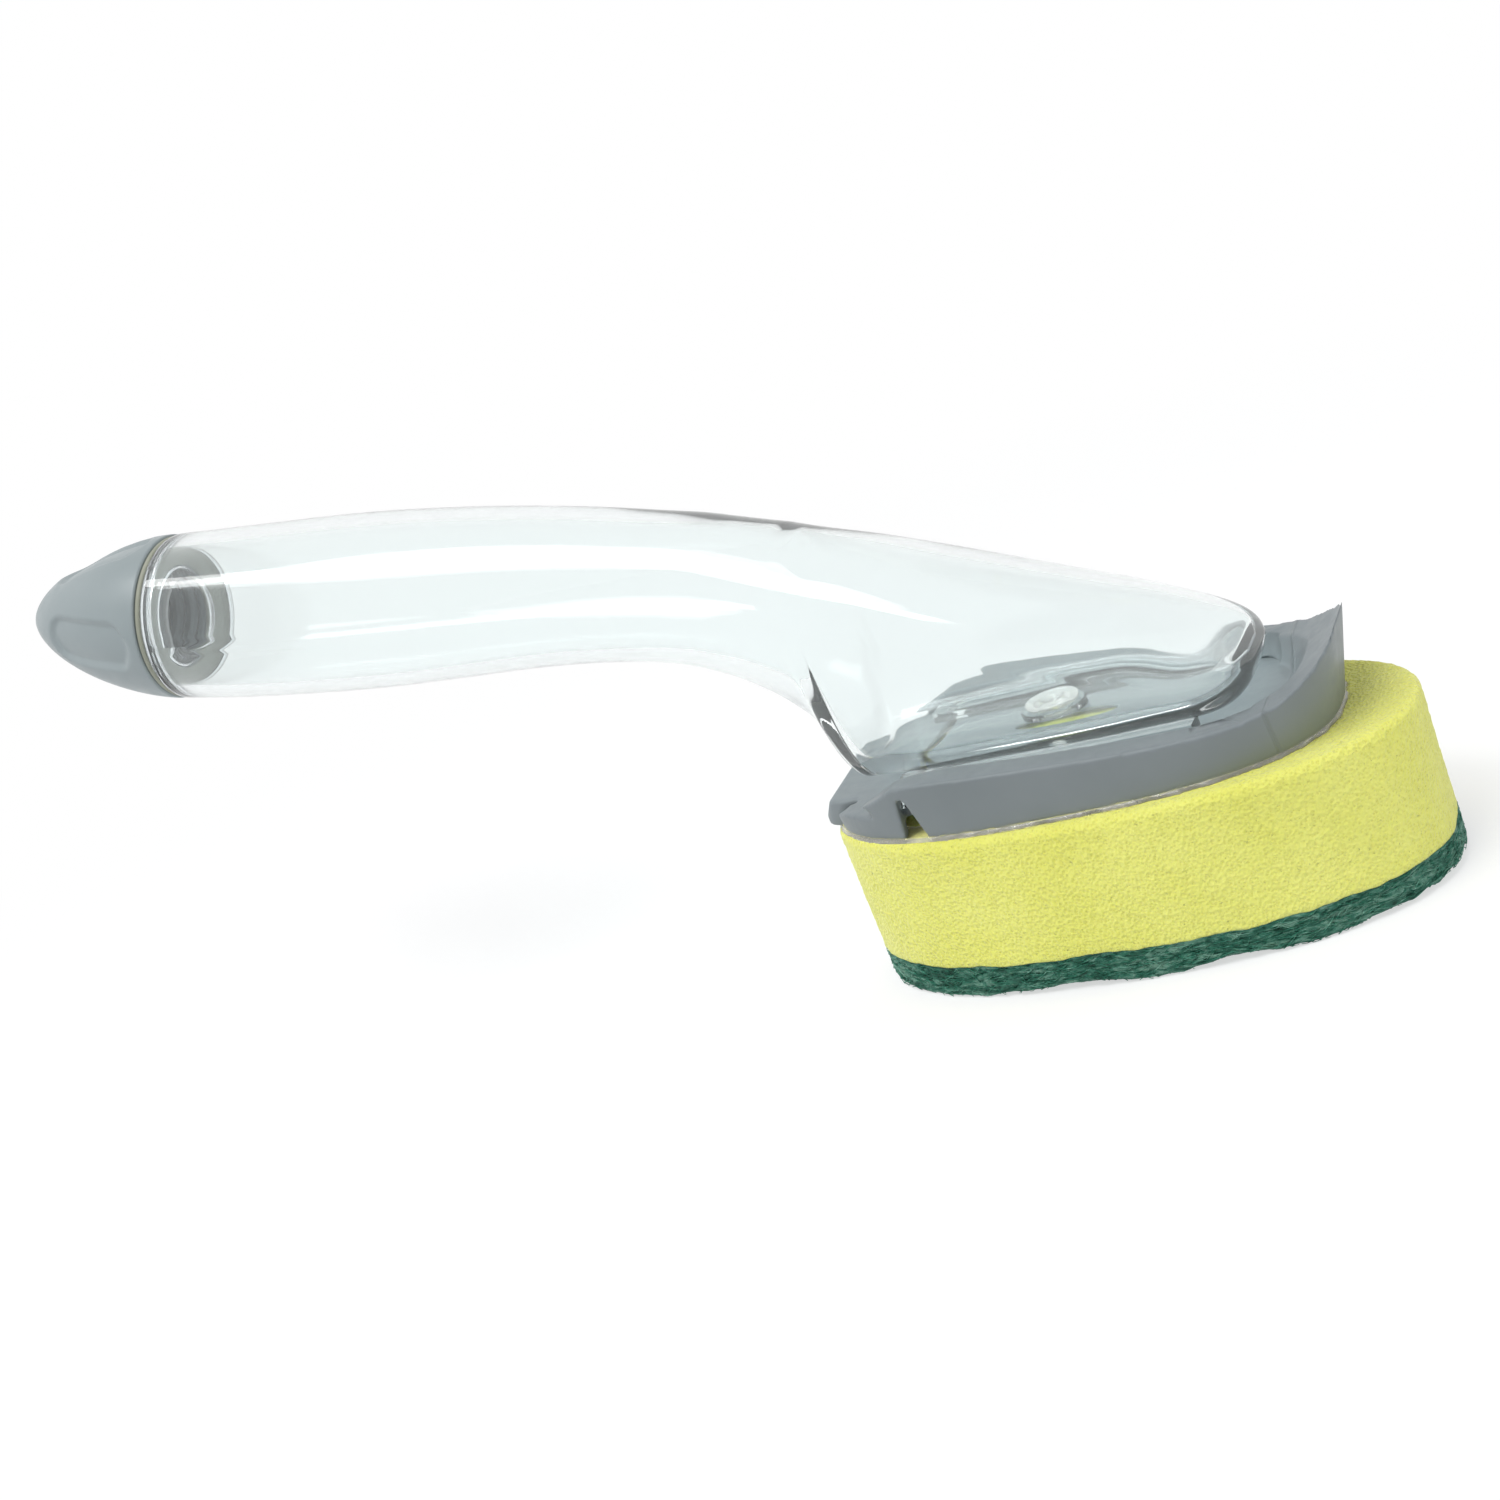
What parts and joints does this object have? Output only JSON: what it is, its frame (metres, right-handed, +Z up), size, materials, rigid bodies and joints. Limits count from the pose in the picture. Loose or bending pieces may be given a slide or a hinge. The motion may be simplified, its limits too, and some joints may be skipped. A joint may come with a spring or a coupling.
{
  "type": "dish wand",
  "caption": "Soap-dispensing dish wand: clear hollow handle with a screw cap, and a slide-on head with a moulded base, foam sponge and scouring pad.",
  "frame": {"origin": "middle of the scouring pad's working face", "axes": "+X along the head, from the cap towards the bow of the base; +Z up, out of the pad towards the handle; the wand is mirror symmetric about the XZ plane"},
  "size_m": [0.2341, 0.049, 0.1047],
  "materials": {
    "clear_shell": "clear, glossy",
    "valve_silicone": "satin",
    "seal_rubber": "satin",
    "cap_plastic": "satin",
    "base_plastic": "satin",
    "glue": "clear, glossy",
    "foam": "open-cell foam",
    "scourer": "coarse non-woven"
  },
  "bodies": {
    "handle": {"handle_upper_shell": "clear_shell", "handle_lower_shell": "clear_shell", "filler_neck": "clear_shell", "outlet_valve": "valve_silicone"},
    "seal": {"cap_seal": "seal_rubber"},
    "cap": {"screw_cap": "cap_plastic"},
    "head": {"sponge_base": "base_plastic", "glue_layer": "glue", "foam_sponge": "foam", "scouring_pad": "scourer"}
  },
  "joints": [
    {"name": "cap_travel", "type": "slide", "parent": "handle", "child": "seal", "axis": [-0.9781, 0, 0.2079], "range_m": [0, 0.0105]},
    {"name": "cap_turn", "type": "hinge", "parent": "seal", "child": "cap", "pos_m": [-0.155, 0, 0.09], "axis": [-0.9781, 0, 0.2079], "range_deg": [0, 1261]},
    {"name": "head_slide", "type": "slide", "parent": "handle", "child": "head", "axis": [1, 0, 0], "range_m": [0, 0.08]}
  ],
  "couplings": [
    {"joint": "cap_turn", "follows": "cap_travel", "rad_per_m": 2094.4}
  ]
}
